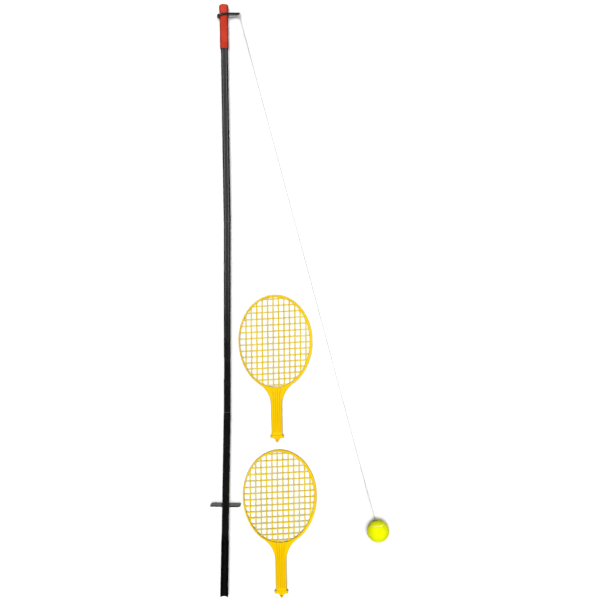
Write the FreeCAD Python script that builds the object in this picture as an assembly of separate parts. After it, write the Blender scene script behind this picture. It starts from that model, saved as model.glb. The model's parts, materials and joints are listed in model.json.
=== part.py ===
import FreeCAD, Part

import math
import os

# Take-apart tetherball set, laid out flat on the floor. Millimetres, +Z up, the floor is z = 0.
# +Y runs along the pole, from the ground spike to the spiral top. The origin is on the floor, at
# the middle of the set's box. Each pole section is drawn along its own +Y axis, from the joint at
# its lower (or, for the bottom section, upper) end, and then laid in its place.

V = FreeCAD.Vector
UP = V(0, 0, 1)
ALONG = V(0, 1, 0)

# ---- driving dimensions ----
TUBE_R = 10.0             # middle section
END_TUBE_R = 10.4         # bottom and top sections
TUBE_WALL = 1.5
JOINT_GAP = 1.0           # bare ring of spigot left showing at each joint
SPIGOT_ROOT = 30.0        # length fixed in its own tube
SPIGOT_REACH = 40.0       # length standing out into the next tube
SPIGOT_PLAY = 1.05        # radial play, which lets a section lean
SPIGOT_SHOULDER = 0.2     # where the root ends, short of the next tube's mouth
BOTTOM_LENGTH = 546.6
MIDDLE_LENGTH = 561.5
TOP_LENGTH = 641.15

PLATE_WIDTH = 88.0        # foot plate, across the pole
PLATE_DEPTH = 41.4
PLATE_THICK = 3.0
PLATE_DROP = 272.5        # from the lower joint down to the plate's upper face
PLATE_ROUND = 12.0        # two opposite corners
PLATE_SHARP = 3.0         # the other two
WELD = 2.6

SPIKE_START = 357.5       # from the lower joint down to where the tube begins to flatten
SPIKE_FULL = 386.0        # and to where it is fully flattened
SPIKE_R = 12.0            # outer radius of the gutter
SPIKE_THICK = 3.2
SPIKE_HALF_ANGLE = 78.0   # the gutter's arc, each side of its bottom

DENT_FROM = 94.6          # shallow flat pressed in one side of the middle tube
DENT_TO = 165.5
DENT_DEPTH = 1.1
DENT_SHOULDER = 6.0

SCREW_LENGTH = 100.0      # threaded part of the spiral top
SCREW_ROOT_R = 12.2
SCREW_CREST_R = 13.0
PITCH = 6.0
CAP_LENGTH = 29.5
CAP_R = 14.0
CAP_FOOT_R = 13.0
CAP_PLUG = 20.0

ARM_DOWN = 31.7           # from the cap's top down to the middle of the arm
ARM_TILT = 5.6            # degrees, lever end raised towards the cap
ARM_THICK = 5.0
ARM_RING_R = PLATE_DEPTH / 2
ARM_BORE_R = 14.9
ARM_TIP = 47.0            # from the pole's axis to the end of the lever
ARM_TIP_R = 7.0
EYE_X = 40.0
EYE_R = 3.3
NUT_R = 14.1
NUT_BORE_R = 13.35
NUT_LENGTH = 5.0

CORD_R = 1.15
LOOP_R = 5.0              # centreline radius of the cord's loop through the eye
KNOT_R = 3.1
BALL_R = 32.75
FELT = 3.2
BALL_KNOT_R = 3.2

BAT_HALF_WIDTH = 109.8
BAT_TOP = 136.0           # from the widest line up to the head's top
BAT_LOW = 144.7           # semi-height of the lower half of the head
BAT_RIM = 6.0
OPENING_SHIFT = -1.7      # the opening sits a little to one side, so one flank of the rim is wider
BAT_RIM_DEPTH = 12.0
BAT_THROAT = -133.8       # where the strings end
THROAT_SAG = 4.4
THROAT_FILLET = 78.0
HANDLE_HALF = 16.1
HANDLE_DEPTH = 17.0
GRIP_TOP = -165.0
HANDLE_END = -280.4
EAR_HALF = 20.0
EAR_END = -288.7
BAT_END = -302.4
HANG_Y = -295.2
HANG_R = 2.5
FLUTE_R = 1.9
FLUTE_PITCH = 6.2
UPRIGHTS = 12
UPRIGHT_PITCH = 16.2
UPRIGHT_WIDTH = 3.5
UPRIGHT_SHIFT = 1.2       # the uprights stand a little to one side
UPRIGHT_TILT = -0.65      # degrees, and lean a little
CROSSES = 15
CROSS_PITCH = 19.62       # at the top; each next one is closer by twice the ease
CROSS_EASE = 0.095
CROSS_TOP = 123.8
CROSS_WIDTH = 3.2
CROSS_TILT = 2.2          # degrees
GRID_BITE = 1.2           # how far the strings' ends are moulded into the rim

# ---- where everything lies ----
AXIS_Z = PLATE_DEPTH / 2
POLE_X = -214.54
LOWER_JOINT_Y = -325.2
UPPER_JOINT_Y = LOWER_JOINT_Y + MIDDLE_LENGTH
BOTTOM_LEAN = -0.95       # degrees about +Z
TOP_LEAN = 0.93
BALL_CENTRE = V(230.36, -674.0, BALL_R)
BAT_TURN = 1.05
BAT_PLACES = {"bat_a": V(-72.34, -114.5, 0), "bat_b": V(-59.54, -575.1, 0)}


def turned(shape, degrees, x, y, z):
    """A copy turned about +Z at its own origin, then moved to (x, y, z)."""
    copy = shape.copy()
    copy.rotate(V(0, 0, 0), UP, degrees)
    copy.translate(V(x, y, z))
    return copy


def rod(radius, low, high):
    return Part.makeCylinder(radius, high - low, V(0, low, 0), ALONG)


def tube(outer, inner, low, high):
    return rod(outer, low, high).cut(rod(inner, low, high))


def flat_shape(points, low, high):
    """A polygon of (x, y) corners, from z = low to z = high."""
    corners = [V(x, y, low) for x, y in points]
    wire = Part.makePolygon(corners + corners[:1])
    return Part.Face(wire).extrude(V(0, 0, high - low))


# ---- bottom section ----
def gutter_outline(outer_r, thick, half_angle):
    """The gutter's closed outline, in four arcs: below, right end, above, left end."""
    a = math.radians(half_angle)
    inner_r = outer_r - thick
    mid_r = (outer_r + inner_r) / 2

    def at(radius, angle):
        return V(radius * math.sin(angle), 0, -radius * math.cos(angle))

    def end_mid(side):
        tip = at(mid_r, side * a)
        onward = V(math.cos(a) * side, 0, math.sin(a)) * (thick / 2)
        return tip + onward

    below = Part.Arc(at(outer_r, -a), at(outer_r, 0), at(outer_r, a))
    right = Part.Arc(at(outer_r, a), end_mid(1), at(inner_r, a))
    above = Part.Arc(at(inner_r, a), at(inner_r, 0), at(inner_r, -a))
    left = Part.Arc(at(inner_r, -a), end_mid(-1), at(outer_r, -a))
    return Part.Wire([arc.toShape() for arc in (below, right, above, left)])


def tube_outline(radius):
    """The tube's outline, cut into four arcs that match the gutter's."""
    a = math.radians(SPIKE_HALF_ANGLE)
    b = math.radians(180 - SPIKE_HALF_ANGLE * 0.86)

    def at(angle):
        return V(radius * math.sin(angle), 0, -radius * math.cos(angle))

    below = Part.Arc(at(-a), at(0), at(a))
    right = Part.Arc(at(a), at((a + b) / 2), at(b))
    above = Part.Arc(at(b), at(math.pi), at(-b))
    left = Part.Arc(at(-b), at(-(a + b) / 2), at(-a))
    return Part.Wire([arc.toShape() for arc in (below, right, above, left)])


def lowered(wire, y, dz=0.0):
    copy = wire.copy()
    copy.translate(V(0, y, dz))
    return copy


def bottom_tube():
    body = tube(END_TUBE_R, END_TUBE_R - TUBE_WALL, -SPIKE_START, -JOINT_GAP / 2)
    gutter = gutter_outline(SPIKE_R, SPIKE_THICK, SPIKE_HALF_ANGLE)
    drop = SPIKE_R - END_TUBE_R
    neck = Part.makeLoft(
        [
            lowered(tube_outline(END_TUBE_R), -SPIKE_START),
            lowered(gutter, -SPIKE_FULL, drop),
        ],
        True,
    )
    blade = Part.Face(lowered(gutter, -SPIKE_FULL, drop)).extrude(V(0, SPIKE_FULL - BOTTOM_LENGTH, 0))
    return body.fuse(neck).fuse(blade).removeSplitter()


def foot_plate():
    half_w = PLATE_WIDTH / 2
    half_d = PLATE_DEPTH / 2
    corner = V(-half_w, -PLATE_DROP - PLATE_THICK, -half_d)
    plate = Part.makeBox(PLATE_WIDTH, PLATE_THICK, PLATE_DEPTH, corner)

    def corners(sign):
        """The two opposite corner edges where x and z have this sign of product."""
        found = []
        for edge in plate.Edges:
            spot = edge.CenterOfMass
            at_corner = abs(abs(spot.x) - half_w) < 0.01 and abs(abs(spot.z) - half_d) < 0.01
            if at_corner and spot.x * spot.z * sign > 0:
                found.append(edge)
        return found

    plate = plate.makeFillet(PLATE_SHARP, corners(-1))
    plate = plate.makeFillet(PLATE_ROUND, corners(1))
    return plate.cut(rod(END_TUBE_R, -PLATE_DROP - 10, -PLATE_DROP + 10))


def plate_weld():
    """A bead all round the tube, on the foot plate's upper face."""
    bead = Part.makeCone(END_TUBE_R + WELD, END_TUBE_R, WELD, V(0, -PLATE_DROP, 0), ALONG)
    return bead.cut(rod(END_TUBE_R, -PLATE_DROP - 10, -PLATE_DROP + 10))


def spigot(own_r, next_r):
    """A stub along +Y: its root fills its own tube, its reach has play in the next one."""
    root = rod(own_r - TUBE_WALL, -SPIGOT_ROOT, SPIGOT_SHOULDER)
    reach = rod(next_r - TUBE_WALL - SPIGOT_PLAY, 0, SPIGOT_REACH)
    tip = [e for e in reach.Edges if abs(e.CenterOfMass.y - SPIGOT_REACH) < 0.01 and e.Closed]
    reach = reach.makeChamfer(1.5, tip)
    return root.fuse(reach).cut(rod(own_r - 2 * TUBE_WALL - 1.5, -SPIGOT_ROOT, SPIGOT_REACH))


# ---- middle section ----
def middle_tube():
    body = tube(TUBE_R, TUBE_R - TUBE_WALL, JOINT_GAP / 2, MIDDLE_LENGTH - JOINT_GAP / 2)
    floor = -TUBE_R + DENT_DEPTH
    outside = -TUBE_R - 1.0
    slope = DENT_SHOULDER * (1.0 + DENT_DEPTH) / DENT_DEPTH
    press = flat_shape(
        [
            (outside, DENT_FROM - slope + DENT_SHOULDER),
            (floor, DENT_FROM + DENT_SHOULDER),
            (floor, DENT_TO - DENT_SHOULDER),
            (outside, DENT_TO + slope - DENT_SHOULDER),
        ],
        -TUBE_R,
        TUBE_R,
    )
    return body.cut(press)


# ---- top section ----
SCREW_TOP = TOP_LENGTH - CAP_LENGTH
SCREW_FOOT = SCREW_TOP - SCREW_LENGTH
TUBE_END = SCREW_TOP - 1.0


def top_tube():
    return tube(END_TUBE_R, END_TUBE_R - TUBE_WALL, JOINT_GAP / 2, TUBE_END)


def spiral_screw():
    """A sleeve over the tube's end, with one helical rib cut square at both ends."""
    turns_length = SCREW_LENGTH - PITCH
    helix = Part.makeHelix(PITCH, turns_length, SCREW_ROOT_R)
    inside = SCREW_ROOT_R - 0.4
    half_foot = PITCH * 0.34
    half_crest = PITCH * 0.14
    profile = Part.makePolygon(
        [
            V(inside, 0, -half_foot),
            V(SCREW_CREST_R, 0, -half_crest),
            V(SCREW_CREST_R, 0, half_crest),
            V(inside, 0, half_foot),
            V(inside, 0, -half_foot),
        ]
    )
    rib = Part.Wire(helix.Edges).makePipeShell([profile], True, True)
    rib.rotate(V(0, 0, 0), V(1, 0, 0), -90)
    rib.translate(V(0, SCREW_FOOT + PITCH / 2, 0))
    sleeve = rod(SCREW_ROOT_R, SCREW_FOOT, SCREW_TOP)
    return sleeve.fuse(rib).cut(rod(END_TUBE_R, SCREW_FOOT, SCREW_TOP))


def top_cap():
    """The crown: a little wider at its top, which is rounded over, with a plug down into the tube."""
    crown = Part.makeCone(CAP_FOOT_R, CAP_R, CAP_LENGTH, V(0, SCREW_TOP, 0), ALONG)
    rim = [e for e in crown.Edges if abs(e.CenterOfMass.y - TOP_LENGTH) < 0.01 and e.Closed]
    crown = crown.makeFillet(4.5, rim)
    plug = rod(END_TUBE_R - TUBE_WALL, TUBE_END - CAP_PLUG, TUBE_END)
    pilot = rod(END_TUBE_R, TUBE_END, SCREW_TOP)
    return crown.fuse([plug, pilot])


ARM_Y = TOP_LENGTH - ARM_DOWN


def follower_nut():
    return tube(NUT_R, NUT_BORE_R, ARM_Y - NUT_LENGTH / 2, ARM_Y + NUT_LENGTH / 2)


def swivel_arm():
    """A ring round the screw with a lever that narrows to a round tip; its eye takes the cord."""
    low = -ARM_THICK / 2
    ring = rod(ARM_RING_R, low, -low)
    tip_x = ARM_TIP - ARM_TIP_R
    tip = Part.makeCylinder(ARM_TIP_R, ARM_THICK, V(tip_x, low, 0), ALONG)
    lean = math.asin((ARM_RING_R - ARM_TIP_R) / tip_x)
    near = V(ARM_RING_R * math.sin(lean), low, ARM_RING_R * math.cos(lean))
    far = V(tip_x + ARM_TIP_R * math.sin(lean), low, ARM_TIP_R * math.cos(lean))
    corners = [near, far, V(far.x, low, -far.z), V(near.x, low, -near.z), near]
    web = Part.Face(Part.makePolygon(corners)).extrude(V(0, ARM_THICK, 0))
    body = ring.fuse([tip, web])
    body = body.cut(rod(ARM_BORE_R, low - 1, 1 - low))
    body = body.cut(Part.makeCylinder(EYE_R, ARM_THICK + 2, V(EYE_X, low - 1, 0), ALONG))
    return turned(body.removeSplitter(), ARM_TILT, 0, ARM_Y, 0)


# ---- the cord and the ball ----
def in_top_section(point):
    """A point of the top section's own frame, in the set's frame."""
    a = math.radians(TOP_LEAN)
    x = point.x * math.cos(a) - point.y * math.sin(a)
    y = point.x * math.sin(a) + point.y * math.cos(a)
    return V(POLE_X + x, UPPER_JOINT_Y + y, AXIS_Z + point.z)


def loop_centre():
    """The middle of the strip of lever between the eye and the tip, where the loop goes round."""
    x = (EYE_X + EYE_R + ARM_TIP) / 2
    a = math.radians(ARM_TILT)
    return in_top_section(V(x * math.cos(a), ARM_Y + x * math.sin(a), 0))


LOOP_AT = loop_centre()
PULL = V(BALL_CENTRE.x - LOOP_AT.x, BALL_CENTRE.y - LOOP_AT.y, 0).normalize()
ARM_KNOT_AT = LOOP_AT + PULL * (LOOP_R + KNOT_R * 0.8)
BALL_KNOT_AT = BALL_CENTRE - PULL * (BALL_R + BALL_KNOT_R * 0.25)
CORD_FROM = ARM_KNOT_AT + PULL * KNOT_R * 0.6
CORD_TO = BALL_KNOT_AT - PULL * BALL_KNOT_R * 0.6


def cord_loop():
    return Part.makeTorus(LOOP_R, CORD_R, LOOP_AT, UP)


def loop_knot():
    ball = Part.makeSphere(KNOT_R, ARM_KNOT_AT)
    return ball.cut(cord_loop())


def cord_route():
    """The cord's points, from the knot at the arm down to the floor, straight along it, and up to
    the ball. Distances are along the line from the arm to the ball."""
    total = (CORD_TO - CORD_FROM).dot(PULL)
    floor_z = CORD_R + 0.05
    heights = [
        (0, AXIS_Z),
        (26, 20.0),
        (62, 16.6),
        (100, 10.0),
        (140, 4.2),
        (186, 1.6),
        (236, floor_z),
        (total - 200, floor_z),
        (total - 150, 2.4),
        (total - 105, 8.4),
        (total - 64, 19.0),
        (total - 28, 29.2),
        (total, BALL_R),
    ]
    points = []
    for along, z in heights:
        spot = CORD_FROM + PULL * along
        points.append(V(spot.x, spot.y, z))
    return points


def cord():
    points = cord_route()
    edges = []
    radii = []
    start = points[0]
    length = 0.0
    for i in range(1, len(points) - 1):
        back = points[i - 1] - points[i]
        ahead = points[i + 1] - points[i]
        half_turn = (math.pi - back.getAngle(ahead)) / 2
        reach = 0.45 * min(back.Length, ahead.Length)
        radius = reach / math.tan(half_turn)
        arc_in = points[i] + back.normalize() * reach
        arc_out = points[i] + ahead.normalize() * reach
        inward = (back + ahead).normalize()
        mid = points[i] + inward * (radius / math.cos(half_turn) - radius)
        edges.append(Part.LineSegment(start, arc_in).toShape())
        edges.append(Part.Arc(arc_in, mid, arc_out).toShape())
        radii.append(round(radius, 1))
        start = arc_out
    edges.append(Part.LineSegment(start, points[-1]).toShape())
    length = sum(edge.Length for edge in edges)
    path = Part.Wire(edges)
    ring = Part.Wire([Part.Circle(points[0], points[1] - points[0], CORD_R).toShape()])
    solid = path.makePipeShell([ring], True, False)
    print("cord radii", radii)
    print("cord length", round(length, 1), "volume", round(solid.Volume, 1),
          "section x length", round(math.pi * CORD_R ** 2 * length, 1))
    for point in points:
        print("route", round(point.x, 2), round(point.y, 2), round(point.z, 2))
    return solid


def ball_parts():
    core_r = BALL_R - FELT
    ball = Part.makeSphere(BALL_R, BALL_CENTRE)
    core = Part.makeSphere(core_r, BALL_CENTRE).cut(Part.makeSphere(core_r - 3.3, BALL_CENTRE))
    felt = ball.cut(Part.makeSphere(core_r, BALL_CENTRE))
    knot = Part.makeSphere(BALL_KNOT_R, BALL_KNOT_AT)
    felt = felt.cut(knot)
    return {"rubber_core": core, "felt_cover": felt, "ball_knot": knot}


# ---- bats ----
def egg(inset, low, high):
    """The head's outline: two half ellipses that share the widest line, drawn in by inset."""
    a = BAT_HALF_WIDTH - inset
    halves = []
    for height, upper in ((BAT_TOP - inset, True), (BAT_LOW - inset, False)):
        ends = (0, math.pi) if upper else (math.pi, 2 * math.pi)
        if height > a:
            curve = Part.Ellipse(V(0, height, low), V(-a, 0, low), V(0, 0, low))
            ends = (ends[0] - math.pi / 2, ends[1] - math.pi / 2)
        else:
            curve = Part.Ellipse(V(a, 0, low), V(0, height, low), V(0, 0, low))
        halves.append(curve.toShape(ends[0], ends[1]))
    return Part.Face(Part.Wire(halves)).extrude(V(0, 0, high - low))


def bat_opening(inset, low, high):
    """Where the strings are: the egg drawn in, cut off at the throat by a shallow arc."""
    region = egg(inset, low, high)
    a = BAT_HALF_WIDTH - inset
    half = a * math.sqrt(1 - (BAT_THROAT / (BAT_LOW - inset)) ** 2)
    radius = (half ** 2 + THROAT_SAG ** 2) / (2 * THROAT_SAG)
    throat_y = BAT_THROAT - THROAT_SAG + (inset - BAT_RIM) * -1
    above = Part.makeBox(2 * a + 20, 400, high - low, V(-a - 10, throat_y + THROAT_SAG, low))
    bowl = Part.makeCylinder(radius, high - low, V(0, throat_y + radius, low), UP)
    opening = region.common(above.fuse(bowl))
    opening.translate(V(OPENING_SHIFT, 0, 0))
    return opening


def bat_frame():
    half = BAT_RIM_DEPTH / 2
    thick = HANDLE_DEPTH / 2
    head = egg(0, -half, half)
    left = -HANDLE_HALF
    neck = flat_shape(
        [(left, -100), (HANDLE_HALF, -100), (HANDLE_HALF, HANDLE_END), (left, HANDLE_END)],
        -half,
        half,
    )
    flat = head.fuse(neck).removeSplitter()
    corners = []
    for edge in flat.Edges:
        spot = edge.CenterOfMass
        upright = abs(edge.Length - BAT_RIM_DEPTH) < 0.01
        if upright and abs(abs(spot.x) - HANDLE_HALF) < 0.1 and spot.y > HANDLE_END + 10:
            corners.append(edge)
    flat = flat.makeFillet(THROAT_FILLET, corners)
    flat = flat.cut(bat_opening(BAT_RIM, -half - 1, half + 1))
    grip_length = GRIP_TOP - HANDLE_END
    grip = Part.makeBox(2 * HANDLE_HALF, grip_length, HANDLE_DEPTH, V(-HANDLE_HALF, HANDLE_END, -thick))
    long_edges = [e for e in grip.Edges if abs(e.Length - grip_length) < 0.01]
    grip = grip.makeFillet(5.5, long_edges)
    body = flat.fuse(grip)
    for cutter in flutes(thick):
        body = body.cut(cutter)
    return body


def bat_butt():
    """The end piece: two small ears across the handle, and a tip with a hole to hang the bat by."""
    thick = HANDLE_DEPTH / 2
    ears = Part.makeBox(2 * EAR_HALF, HANDLE_END - EAR_END, HANDLE_DEPTH, V(-EAR_HALF, EAR_END, -thick))
    ears = ears.makeFillet(2.5, ears.Edges)
    right = [(15.0, EAR_END + 2.6), (9.0, -290.0), (6.2, -293.0), (5.0, -296.0), (2.6, -300.6), (1.3, BAT_END)]
    left = [(-x, y) for x, y in reversed(right)]
    tip = flat_shape(right + left, -thick + 3, thick - 3)
    return ears.fuse(tip).cut(Part.makeCylinder(HANG_R, 30, V(0, HANG_Y, -15), UP))


def flutes(thick):
    """Round-bottomed grooves along the handle, on both faces."""
    cutters = []
    for k in (-1.5, -0.5, 0.5, 1.5):
        x = k * FLUTE_PITCH
        for z in (-thick, thick):
            start = V(x, HANDLE_END + 6, z + math.copysign(0.6, z))
            cutters.append(Part.makeCylinder(FLUTE_R, 96, start, ALONG))
    return cutters


def bat_strings():
    """The grid of moulded strings: flat bars both ways, trimmed a little inside the rim."""
    bars = []
    for i in range(UPRIGHTS):
        x = (i - (UPRIGHTS - 1) / 2) * UPRIGHT_PITCH + UPRIGHT_SHIFT
        bar = Part.makeBox(UPRIGHT_WIDTH, 320, 2.8, V(x - UPRIGHT_WIDTH / 2, -160, -1.4))
        bar.rotate(V(0, 0, 0), UP, UPRIGHT_TILT)
        bars.append(bar)
    for i in range(CROSSES):
        y = CROSS_TOP - i * CROSS_PITCH + i * i * CROSS_EASE
        bar = Part.makeBox(240, CROSS_WIDTH, 2.2, V(-120, y - CROSS_WIDTH / 2, -1.1))
        bar.rotate(V(0, 0, 0), UP, CROSS_TILT)
        bars.append(bar)
    grid = bars[0].fuse(bars[1:])
    return grid.common(bat_opening(BAT_RIM - GRID_BITE, -3, 3))


def lay_bat(shape, place):
    """Rests the bat on the near end of its grip and the far end of its rim."""
    half = BAT_RIM_DEPTH / 2
    thick = HANDLE_DEPTH / 2
    dip = math.degrees(math.atan2(thick - half, BAT_TOP - GRIP_TOP))
    laid = shape.copy()
    laid.rotate(V(0, 0, 0), V(1, 0, 0), -dip)
    slope = math.tan(math.radians(dip))
    return turned(laid, BAT_TURN, place.x, place.y, half + slope * BAT_TOP + 0.05)


# ---- the whole set ----
def build():
    nodes = {}
    bottom = (BOTTOM_LEAN, POLE_X, LOWER_JOINT_Y, AXIS_Z)
    middle = (0, POLE_X, LOWER_JOINT_Y, AXIS_Z)
    top = (TOP_LEAN, POLE_X, UPPER_JOINT_Y, AXIS_Z)
    nodes["bottom_tube"] = turned(bottom_tube(), *bottom)
    nodes["foot_plate"] = turned(foot_plate(), *bottom)
    nodes["plate_weld"] = turned(plate_weld(), *bottom)
    nodes["lower_spigot"] = turned(spigot(END_TUBE_R, TUBE_R), *bottom)
    nodes["middle_tube"] = turned(middle_tube(), *middle)
    nodes["upper_spigot"] = turned(spigot(TUBE_R, END_TUBE_R), 0, POLE_X, UPPER_JOINT_Y, AXIS_Z)
    nodes["top_tube"] = turned(top_tube(), *top)
    nodes["spiral_screw"] = turned(spiral_screw(), *top)
    nodes["top_cap"] = turned(top_cap(), *top)
    nodes["follower_nut"] = turned(follower_nut(), *top)
    nodes["swivel_arm"] = turned(swivel_arm(), *top)
    nodes["cord_loop"] = cord_loop()
    nodes["loop_knot"] = loop_knot()
    nodes["cord"] = cord()
    nodes.update(ball_parts())
    bat_pieces = {"_frame": bat_frame(), "_butt": bat_butt(), "_strings": bat_strings()}
    for name, place in BAT_PLACES.items():
        for ending, shape in bat_pieces.items():
            nodes[name + ending] = lay_bat(shape, place)
    return nodes


def main():
    os.makedirs("parts", exist_ok=True)
    whole = FreeCAD.BoundBox()
    for name, shape in build().items():
        shape = shape.Solids[0]
        box = FreeCAD.BoundBox()
        for point in shape.tessellate(0.05)[0]:
            box.add(point)
        whole.add(box)
        print(name, shape.ShapeType, "solids", len(shape.Solids), "valid", shape.isValid(),
              "volume", round(shape.Volume), "z", round(box.ZMin, 2), round(box.ZMax, 2))
        shape.exportStep(os.path.join("parts", name + ".step"))
    centre = whole.Center
    print("box", [round(v, 2) for v in (whole.XLength, whole.YLength, whole.ZLength)],
          "centre", round(centre.x, 2), round(centre.y, 2), "floor", round(whole.ZMin, 3))
    print("arm axis points", in_top_section(V(0, ARM_Y, 0)), in_top_section(V(0, ARM_Y + 1000, 0)))
    print("loop", LOOP_AT, "knot", ARM_KNOT_AT, "ball knot", BALL_KNOT_AT)


main()
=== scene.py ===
import json
import math

import bmesh
import bpy
import numpy as np
from mathutils import Euler, Matrix, Vector


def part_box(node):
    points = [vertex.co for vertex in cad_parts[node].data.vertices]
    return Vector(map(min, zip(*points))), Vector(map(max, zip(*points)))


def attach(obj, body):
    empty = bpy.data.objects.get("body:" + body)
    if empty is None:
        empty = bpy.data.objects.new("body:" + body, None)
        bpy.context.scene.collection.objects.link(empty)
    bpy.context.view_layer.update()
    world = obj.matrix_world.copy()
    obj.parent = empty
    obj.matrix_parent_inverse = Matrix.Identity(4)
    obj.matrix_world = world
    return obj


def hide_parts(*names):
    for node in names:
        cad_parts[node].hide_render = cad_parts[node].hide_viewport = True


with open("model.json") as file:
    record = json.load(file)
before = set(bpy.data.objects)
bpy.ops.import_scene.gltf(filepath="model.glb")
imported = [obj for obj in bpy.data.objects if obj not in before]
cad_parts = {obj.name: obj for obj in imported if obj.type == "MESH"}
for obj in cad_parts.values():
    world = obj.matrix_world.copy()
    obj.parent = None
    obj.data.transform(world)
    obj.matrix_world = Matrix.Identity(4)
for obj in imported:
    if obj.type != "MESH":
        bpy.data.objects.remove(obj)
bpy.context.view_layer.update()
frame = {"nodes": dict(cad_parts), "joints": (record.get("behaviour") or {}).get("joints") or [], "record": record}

# A take-apart tetherball set laid out flat on a pale floor and seen from straight above.
# Metres throughout. +Y runs along the pole, +X towards the ball, +Z up from the floor.

joints = {joint["name"]: joint for joint in frame["joints"]}
mounts = {mount["name"]: mount for mount in frame["record"]["mounts"]}

# ---- sizes, as the part's own ----
TUBE_R = 0.010
END_TUBE_R = 0.0104
WALL = 0.0015
GAP = 0.0010
MOUTH = 0.0005                             # length of a tube's rounded mouth
MIDDLE_LENGTH = 0.5615
TOP_LENGTH = 0.64115
BOTTOM_LENGTH = 0.5466
SPIKE_START = 0.3575
SPIKE_FULL = 0.386
SPIKE_R = 0.012
SPIKE_THICK = 0.0032
SPIKE_HALF_ANGLE = math.radians(78)
DENT = (0.0946, 0.1655, 0.0011, 0.006)     # from, to, depth, shoulder
PLATE_DROP = 0.2725
WELD = 0.0026
CAP_LENGTH = 0.0295
SCREW_LENGTH = 0.100
SCREW_ROOT_R = 0.0122
SCREW_CREST_R = 0.0130
PITCH = 0.006
CAP_R = 0.0140
CAP_FOOT_R = 0.0130
ARM_UP = 0.60945                           # from the upper joint to the middle of the arm
CORD_R = 0.00115
LOOP_R = 0.005
KNOT_R = 0.0031
BALL_KNOT_R = 0.0032
BAT_HALF_WIDTH = 0.1098
BAT_TOP = 0.1360
BAT_LOW = 0.1447
BAT_RIM = 0.0060
OPENING_SHIFT = -0.0017
BAT_RIM_DEPTH = 0.012
BAT_THROAT = -0.1338
THROAT_SAG = 0.0044
THROAT_HALF = 0.028                        # half the width of the opening at the throat
STRING_BITE = 0.0012                       # how far the uprights run on into the throat
THROAT_FILLET = 0.078
HANDLE_HALF = 0.0161
HANDLE_DEPTH = 0.017
GRIP_TOP = -0.165
HANDLE_END = -0.2804
EAR_HALF = 0.020
EAR_END = -0.2887
BAT_END = -0.3024
HANG_Y = -0.2952
HANG_R = 0.0025
FLUTE_PITCH, FLUTE_DEPTH = 0.0062, 0.0018
UPRIGHTS, UPRIGHT_PITCH, UPRIGHT_WIDTH = 12, 0.0162, 0.0035
UPRIGHT_SHIFT, UPRIGHT_TILT = 0.0012, math.radians(-0.65)
CROSSES, CROSS_PITCH, CROSS_EASE, CROSS_WIDTH = 15, 0.01962, 0.000095, 0.0032
CROSS_TOP, CROSS_TILT = 0.1238, math.radians(2.2)
BAT_TURN = math.radians(1.05)
LENS, SENSOR = 50, 36
CAMERA_AT = (0.0005, 0.0058, 2.4832)


# ---- mesh helpers ----
def add_mesh(name, vertices, faces):
    mesh = bpy.data.meshes.new(name)
    mesh.from_pydata([tuple(v) for v in vertices], [], [tuple(f) for f in faces])
    mesh.validate()
    mesh.update()
    mesh.polygons.foreach_set("use_smooth", [True] * len(mesh.polygons))
    piece = bpy.data.objects.new(name, mesh)
    bpy.context.scene.collection.objects.link(piece)
    return piece


def grid_faces(rows, columns, loop=False):
    """Quads between closed rows of points; loop joins the last row to the first."""
    faces = []
    for i in range(rows if loop else rows - 1):
        for j in range(columns):
            a = i * columns + j
            b = i * columns + (j + 1) % columns
            c = ((i + 1) % rows) * columns + (j + 1) % columns
            d = ((i + 1) % rows) * columns + j
            faces.append((a, b, c, d))
    return faces


def shell(rows, loop=False):
    """(vertices, faces) of a closed surface through rings of points, with a face over each end."""
    rows = np.asarray(rows, float)
    count, columns, _ = rows.shape
    faces = grid_faces(count, columns, loop)
    if not loop:
        faces.append(tuple(range(columns - 1, -1, -1)))
        faces.append(tuple((count - 1) * columns + j for j in range(columns)))
    return rows.reshape(-1, 3).tolist(), faces


def joined(name, parts):
    """One mesh from a list of (vertices, faces)."""
    vertices = []
    faces = []
    for points, sides in parts:
        start = len(vertices)
        vertices.extend(points)
        faces.extend(tuple(start + k for k in side) for side in sides)
    return add_mesh(name, vertices, faces)


def mesh_part(mesh):
    """(vertices, faces) of a mesh."""
    return [v.co[:] for v in mesh.vertices], [tuple(p.vertices) for p in mesh.polygons]


def smooth_step(f):
    """0 to 1, level at both ends."""
    return f * f * (3 - 2 * f)


def rounded_square(turn, power):
    """A point of a square with round corners: the lower the power, the squarer."""
    x, y = math.cos(turn), math.sin(turn)
    return abs(x) ** power * math.copysign(1, x), abs(y) ** power * math.copysign(1, y)


def set_material(piece, material):
    piece.data.materials.clear()
    piece.data.materials.append(material)


def finish_piece(piece, body, slot, material, *nodes, sharp=35):
    set_material(piece, material)
    if sharp:
        piece.data.set_sharp_from_angle(angle=math.radians(sharp))
    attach(piece, body)
    if nodes:
        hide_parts(*nodes)


# ---- pole sections: each has its own frame, with +Y along it ----
class Section:
    def __init__(self, origin, along):
        self.origin = Vector(origin)
        self.along = Vector(along).normalized()
        self.right = Vector((self.along.y, -self.along.x, 0))

    def at(self, x, y, z):
        return self.origin + self.right * x + self.along * y + Vector((0, 0, z))

    def ring(self, y, radius, count=96):
        turns = np.linspace(0, 2 * math.pi, count, endpoint=False)
        return [tuple(self.at(radius * math.cos(t), y, radius * math.sin(t))) for t in turns]

    def lathe(self, name, profile, count=96, loop=False):
        return joined(name, [shell([self.ring(y, r, count) for y, r in profile], loop)])


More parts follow.
